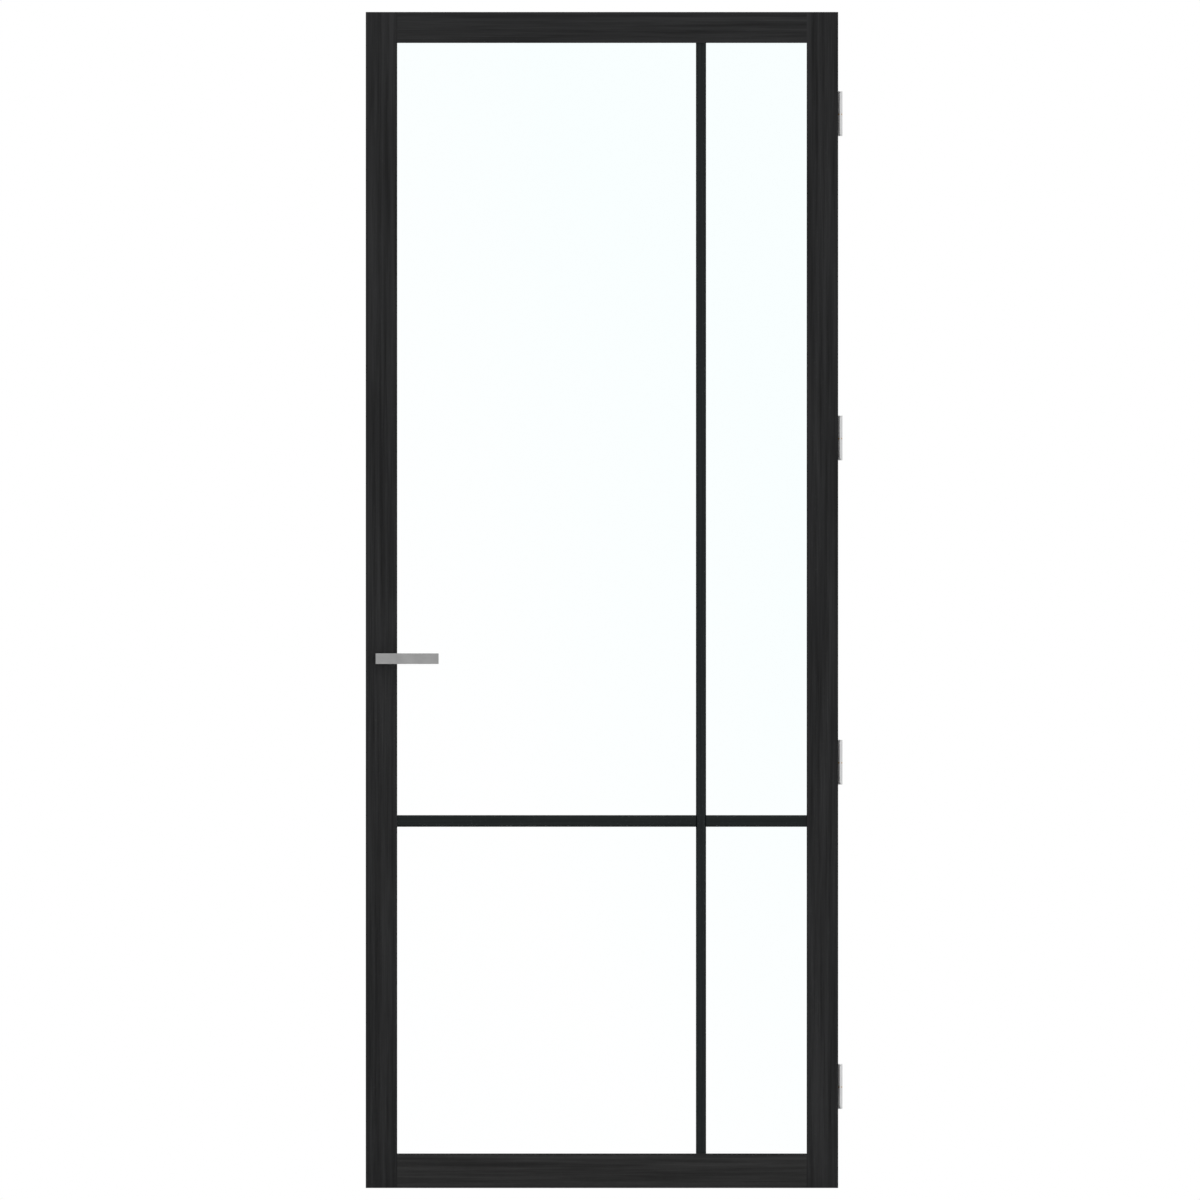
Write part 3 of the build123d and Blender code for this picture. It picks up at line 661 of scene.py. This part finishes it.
bpy.ops.mesh.bisect(plane_co=(0, bar_back_y, 0), plane_no=(0, 1, 0))
choose(
    front_lever,
    "FACE",
    lambda face: face.normal.x > 0.9 and face.calc_center_median().y < bar_back_y,
)
bpy.ops.mesh.extrude_region_move(TRANSFORM_OT_translate={"value": (lever_tip_x - neck_right, 0, 0)})
elbow = Vector((neck_right, bar_back_y, spindle_z))
choose(front_lever, "EDGE", lambda edge: (middle(edge) - elbow).length < near)
bpy.ops.mesh.bevel(offset=elbow_round, segments=8, affect="EDGES")
lone()
grub_way = turned(
    "grub_way",
    grub_radius + spindle_gap,
    (spindle_x, grub_y, lever_foot_z - overshoot),
    (spindle_x, grub_y, spindle_z),
    32,
)
work(front_lever, grub_way, "DIFFERENCE")
ease(front_lever, lever_edge_round, 3)
journal = turned(
    "journal",
    journal_radius,
    (spindle_x, neck_foot_y - journal_root, spindle_z),
    (spindle_x, journal_end_y, spindle_z),
)
work(front_lever, journal, "UNION")
spindle_way = block(
    "spindle_way",
    (spindle_left - spindle_gap, spindle_end_y - spindle_end_gap, spindle_foot_z - spindle_gap),
    (spindle_right + spindle_gap, 0, spindle_top_z + spindle_gap),
)
work(front_lever, spindle_way, "DIFFERENCE")
ease(front_lever, 0)


def far_side(piece, name):
    """The same piece for the door's other face."""
    twin = copy_of(piece, name)
    twin.scale.y = -1
    settle(twin)
    ease(twin, 0)
    return twin


rear_lever = far_side(front_lever, "flat_lever_rear")
finish_piece(front_lever, lever_steel, "satin_stainless", "handle", "front_lever")
finish_piece(rear_lever, lever_steel, "satin_stainless", "handle", "rear_lever")

front_grub = turned(
    "grub_screw_front",
    grub_radius,
    (spindle_x, grub_y, lever_foot_z + grub_sunk),
    (spindle_x, grub_y, spindle_foot_z - grub_end_gap),
    40,
)
hex_recess = turned(
    "hex_recess",
    hex_radius,
    (spindle_x, grub_y, lever_foot_z - overshoot),
    (spindle_x, grub_y, lever_foot_z + hex_depth),
    6,
)
work(front_grub, hex_recess, "DIFFERENCE")
ease(front_grub, 0.0002, 1)
rear_grub = far_side(front_grub, "grub_screw_rear")
for grub in (front_grub, rear_grub):
    finish_piece(grub, screw_steel, "plain_steel", "handle")


# The bushes that the levers turn in: black nylon collars pressed into the lock upright from
# both faces, with a narrow flange against the lacquer.
front_y = corners("lock_stile")[0][1]
flange_radius, collar_radius, collar_length, flange_round = 0.0103, 0.0095, 0.012, 0.0006
running_gap = 0.00006
black_nylon = moulded("black_nylon", (0.014, 0.014, 0.014), (0.024, 0.024, 0.024), 0.45, 500)
front_bush = turned(
    "lever_collar_front",
    flange_radius,
    (spindle_x, front_y, spindle_z),
    (spindle_x, flange_face_y, spindle_z),
)
choose(front_bush, "FACE", lambda face: face.normal.y > 0.9)
bpy.ops.mesh.inset(thickness=flange_radius - collar_radius)
bpy.ops.mesh.extrude_region_move(TRANSFORM_OT_translate={"value": (0, collar_length, 0)})
choose(
    front_bush,
    "EDGE",
    lambda edge: all(abs(corner.co.y - flange_face_y) < near for corner in edge.verts),
)
bpy.ops.mesh.bevel(offset=flange_round, segments=3, affect="EDGES")
lone()
journal_way = turned(
    "journal_way",
    journal_radius + running_gap,
    (spindle_x, flange_face_y - overshoot, spindle_z),
    (spindle_x, front_y + collar_length + overshoot, spindle_z),
)
work(front_bush, journal_way, "DIFFERENCE")
ease(front_bush, 0)
rear_bush = far_side(front_bush, "lever_collar_rear")
finish_piece(front_bush, black_nylon, "black_nylon", "leaf", "front_lever_bush")
finish_piece(rear_bush, black_nylon, "black_nylon", "leaf", "rear_lever_bush")


# Four lift-off hinges on the other upright, in satin stainless steel. Each has a plate let into
# the door's edge under the upper knuckle, a plate for the jamb with the lower knuckle and its
# pin, a bronze washer between, and countersunk screws. The jamb plates wait for their screws.
hinge_gap, plate_thickness, plate_corner_round, hinge_edge_round = 0.003, 0.003, 0.010, 0.00025
knuckle_radius, knuckle_round, knuckle_gap, knuckle_stand_off = 0.007, 0.0016, 0.0001, 0.0015
pin_radius, pin_top, pin_root, pin_room = 0.004, 0.0359, 0.01, 0.0015
washer_radius, washer_thickness, washer_edge_round = 0.0068, 0.0024, 0.0003
hinge_hole_radius, knuckle_notch, web_root = 0.0025, 0.0005, 0.002
hinge_holes = ((-0.0065, 0.033), (-0.0065, -0.033), (0.0075, 0.014), (0.0075, -0.014))
door_face_x, upright_back_y, _ = corners("hinge_stile")[1]
jamb_face_x = door_face_x + hinge_gap
pin_x = door_face_x + hinge_gap / 2
pin_y = upright_back_y + knuckle_stand_off + knuckle_radius
(_, plate_front_y, first_foot_z), (_, _, first_top_z) = corners("door_hinge_leaf_1")
(_, _, last_foot_z), (_, _, last_top_z) = corners("door_hinge_leaf_4")
knuckle_reach = (first_top_z - first_foot_z) / 2
plate_y = (plate_front_y, pin_y - knuckle_radius - knuckle_notch)
first_z, last_z = (first_foot_z + first_top_z) / 2, (last_foot_z + last_top_z) / 2
hinge_heights = [first_z + number * (last_z - first_z) / 3 for number in range(4)]
hinge_steel = worked_steel("satin_stainless_hinge", "Z", 0.62, 0.05, 0.34, 0.0006)
bronze = bpy.data.materials.new("bronze_washer")
bronze.use_nodes = True
bronze_nodes, bronze_links = bronze.node_tree.nodes, bronze.node_tree.links
bronze_shader = bronze_nodes["Principled BSDF"]
bronze_shader.inputs["Metallic"].default_value = 1.0
bronze_shader.inputs["Roughness"].default_value = 0.35
bronze_place = bronze_nodes.new("ShaderNodeTexCoord")
bronze_rings = bronze_nodes.new("ShaderNodeTexNoise")
bronze_rings.inputs["Scale"].default_value = 700.0
bronze_tone = bronze_nodes.new("ShaderNodeValToRGB")
bronze_tone.color_ramp.elements[0].color = (0.36, 0.22, 0.09, 1)
bronze_tone.color_ramp.elements[1].color = (0.52, 0.35, 0.16, 1)
bronze_links.new(bronze_place.outputs["Object"], bronze_rings.inputs["Vector"])
bronze_links.new(bronze_rings.outputs["Fac"], bronze_tone.inputs["Fac"])
bronze_links.new(bronze_tone.outputs["Color"], bronze_shader.inputs["Base Color"])


def on_pin(name, radius, low, high, sides=40):
    """Turned blank about the pin of the first hinge, between two heights from its middle."""
    foot = (pin_x, pin_y, hinge_heights[0] + low)
    top = (pin_x, pin_y, hinge_heights[0] + high)
    return turned(name, radius, foot, top, sides)


def hinge_half(name, gap_face_x, back_x, knuckle_inner, knuckle_outer):
    """One half of the first hinge: plate with round far corners, knuckle and screw holes."""
    middle_z = hinge_heights[0]
    low_x, high_x = sorted((gap_face_x, back_x))
    knuckle_low, knuckle_high = sorted((knuckle_inner, knuckle_outer))
    half = block(
        name,
        (low_x, plate_y[0], middle_z - knuckle_reach),
        (high_x, plate_y[1], middle_z + knuckle_reach),
    )
    choose(
        half,
        "EDGE",
        lambda edge: abs(middle(edge).y - plate_y[0]) < near
        and abs(abs(middle(edge).z - middle_z) - knuckle_reach) < near,
    )
    bpy.ops.mesh.bevel(offset=plate_corner_round, segments=12, affect="EDGES")
    lone()
    web = block(
        "web",
        (low_x, plate_y[1] - web_root, middle_z + knuckle_low),
        (high_x, pin_y, middle_z + knuckle_high),
    )
    work(half, web, "UNION")
    knuckle = on_pin("knuckle", knuckle_radius, knuckle_low, knuckle_high, 64)
    outer_z = middle_z + knuckle_outer
    choose(
        knuckle,
        "EDGE",
        lambda edge: all(abs(corner.co.z - outer_z) < near for corner in edge.verts),
    )
    bpy.ops.mesh.bevel(offset=knuckle_round, segments=5, affect="EDGES")
    lone()
    work(half, knuckle, "UNION")
    inward = (1 if back_x > gap_face_x else -1, 0, 0)
    for hole_y, rise in hinge_holes:
        drill = screw_drill((gap_face_x, hole_y, middle_z + rise), inward, hinge_hole_radius)
        work(half, drill, "DIFFERENCE")
    return half


door_half = hinge_half(
    "hinge_door_half_1", door_face_x, door_face_x - plate_thickness, knuckle_gap, knuckle_reach
)
work(
    door_half,
    on_pin("pin_way", pin_radius + running_gap, -overshoot, pin_top + pin_room),
    "DIFFERENCE",
)
ease(door_half, hinge_edge_round)
jamb_half = hinge_half(
    "hinge_jamb_half_1",
    jamb_face_x,
    jamb_face_x + plate_thickness,
    -washer_thickness - 2 * knuckle_gap,
    -knuckle_reach,
)
work(jamb_half, on_pin("pin", pin_radius, -pin_root, pin_top), "UNION")
ease(jamb_half, hinge_edge_round)
washer = on_pin("hinge_washer_1", washer_radius, -washer_thickness - knuckle_gap, -knuckle_gap, 48)
work(
    washer,
    on_pin("washer_way", pin_radius + knuckle_gap, -washer_thickness - overshoot, overshoot, 48),
    "DIFFERENCE",
)
ease(washer, washer_edge_round)
door_screws = []
for count, (hole_y, rise) in enumerate(hinge_holes, start=1):
    spot = (door_face_x, hole_y, hinge_heights[0] + rise)
    door_screws.append(cross_head_screw(f"hinge_screw_1_{count}", spot, (-1, 0, 0)))
hinge_sets = [(door_half, jamb_half, washer, joined(door_screws, "hinge_screws_1"))]
for number, height in enumerate(hinge_heights[1:], start=2):
    hinge_set = []
    for piece in hinge_sets[0]:
        twin = copy_of(piece, piece.name[:-1] + str(number))
        twin.location.z = height - hinge_heights[0]
        hinge_set.append(settle(twin))
    hinge_sets.append(hinge_set)
for number, (door_half, jamb_half, washer, screws) in enumerate(hinge_sets, start=1):
    finish_piece(door_half, hinge_steel, "satin_stainless", "leaf", f"door_hinge_leaf_{number}")
    finish_piece(jamb_half, hinge_steel, "satin_stainless", "jamb_side", f"jamb_hinge_leaf_{number}")
    finish_piece(washer, bronze, "satin_stainless", "jamb_side")
    finish_piece(screws, screw_steel, "satin_stainless", "leaf")


# The studio: a pale matt floor under the door, a white surround that glass and metal mirror,
# and soft lamps at a plain level. The camera looks straight at the front, without perspective.
lone()
bpy.ops.mesh.primitive_plane_add(size=200, location=(0, 0, 0))
floor = bpy.context.object
floor.name = "studio_floor"
floor_paint = bpy.data.materials.new("matt_floor_paint")
floor_paint.use_nodes = True
floor_nodes, floor_links = floor_paint.node_tree.nodes, floor_paint.node_tree.links
floor_shader = floor_nodes["Principled BSDF"]
floor_shader.inputs["Roughness"].default_value = 0.9
floor_shader.inputs["Specular IOR Level"].default_value = 0.1
floor_place = floor_nodes.new("ShaderNodeTexCoord")
floor_cloud = floor_nodes.new("ShaderNodeTexNoise")
floor_cloud.inputs["Scale"].default_value = 1.2
floor_tone = floor_nodes.new("ShaderNodeValToRGB")
floor_tone.color_ramp.elements[0].color = (0.86, 0.86, 0.86, 1)
floor_tone.color_ramp.elements[1].color = (0.88, 0.88, 0.88, 1)
floor_path = floor_nodes.new("ShaderNodeLightPath")
floor_in_sight = floor_nodes.new("ShaderNodeMath")
floor_in_sight.operation = "MAXIMUM"
floor_mirrored = floor_nodes.new("ShaderNodeMath")
floor_mirrored.operation = "MAXIMUM"
floor_whitened = floor_nodes.new("ShaderNodeMix")
floor_whitened.data_type = "RGBA"
floor_whitened.inputs["B"].default_value = (0.99, 0.99, 0.99, 1)
floor_links.new(floor_place.outputs["Object"], floor_cloud.inputs["Vector"])
floor_links.new(floor_cloud.outputs["Fac"], floor_tone.inputs["Fac"])
floor_links.new(floor_path.outputs["Is Camera Ray"], floor_in_sight.inputs[0])
floor_links.new(floor_path.outputs["Is Transmission Ray"], floor_in_sight.inputs[1])
floor_links.new(floor_in_sight.outputs[0], floor_mirrored.inputs[0])
floor_links.new(floor_path.outputs["Is Glossy Ray"], floor_mirrored.inputs[1])
floor_links.new(floor_mirrored.outputs[0], floor_whitened.inputs["Factor"])
floor_links.new(floor_tone.outputs["Color"], floor_whitened.inputs["A"])
floor_links.new(floor_whitened.outputs["Result"], floor_shader.inputs["Base Color"])
floor.data.materials.append(floor_paint)

surround = bpy.context.scene.world or bpy.data.worlds.new("studio_surround")
bpy.context.scene.world = surround
surround.use_nodes = True
sky, sky_links = surround.node_tree.nodes, surround.node_tree.links
sky.clear()
sky_out = sky.new("ShaderNodeOutputWorld")
sky_path = sky.new("ShaderNodeLightPath")
lighting = sky.new("ShaderNodeBackground")
lighting.inputs["Color"].default_value = (1, 1, 1, 1)
lighting.inputs["Strength"].default_value = 0.88
seen = sky.new("ShaderNodeBackground")
seen.inputs["Color"].default_value = (1, 1, 1, 1)
seen.inputs["Strength"].default_value = 1.0
seen_by_camera = sky.new("ShaderNodeMath")
seen_by_camera.operation = "MAXIMUM"
seen_in_gloss = sky.new("ShaderNodeMath")
seen_in_gloss.operation = "MAXIMUM"
sky_choice = sky.new("ShaderNodeMixShader")
sky_links.new(sky_path.outputs["Is Camera Ray"], seen_by_camera.inputs[0])
sky_links.new(sky_path.outputs["Is Glossy Ray"], seen_by_camera.inputs[1])
sky_links.new(seen_by_camera.outputs[0], seen_in_gloss.inputs[0])
sky_links.new(sky_path.outputs["Is Transmission Ray"], seen_in_gloss.inputs[1])
sky_links.new(seen_in_gloss.outputs[0], sky_choice.inputs["Fac"])
sky_links.new(lighting.outputs["Background"], sky_choice.inputs[1])
sky_links.new(seen.outputs["Background"], sky_choice.inputs[2])
sky_links.new(sky_choice.outputs["Shader"], sky_out.inputs["Surface"])

lamps_point_at = Vector((0, 0, 1.1))
for name, place, size, power in (
    ("soft_key", (-2.6, -3.4, 4.2), 2.6, 24),
    ("soft_fill", (3.4, -2.6, 3.0), 2.6, 14),
    ("soft_back", (0.8, 3.6, 4.0), 2.8, 20),
):
    lone()
    bpy.ops.object.light_add(type="AREA", location=place)
    lamp = bpy.context.object
    lamp.name = name
    lamp.data.shape = "SQUARE"
    lamp.data.size = size
    lamp.data.energy = power
    lamp.rotation_euler = (lamps_point_at - Vector(place)).to_track_quat("-Z", "Y").to_euler()

view_middle_x, view_middle_z, view_height, camera_y = -0.00809, 1.1575, 2.3622, -6.0
lone()
bpy.ops.object.camera_add(
    location=(view_middle_x, camera_y, view_middle_z), rotation=(pi / 2, 0, 0)
)
camera = bpy.context.object
camera.data.type = "ORTHO"
camera.data.ortho_scale = view_height
bpy.context.scene.camera = camera
bpy.context.scene.view_settings.view_transform = "Standard"
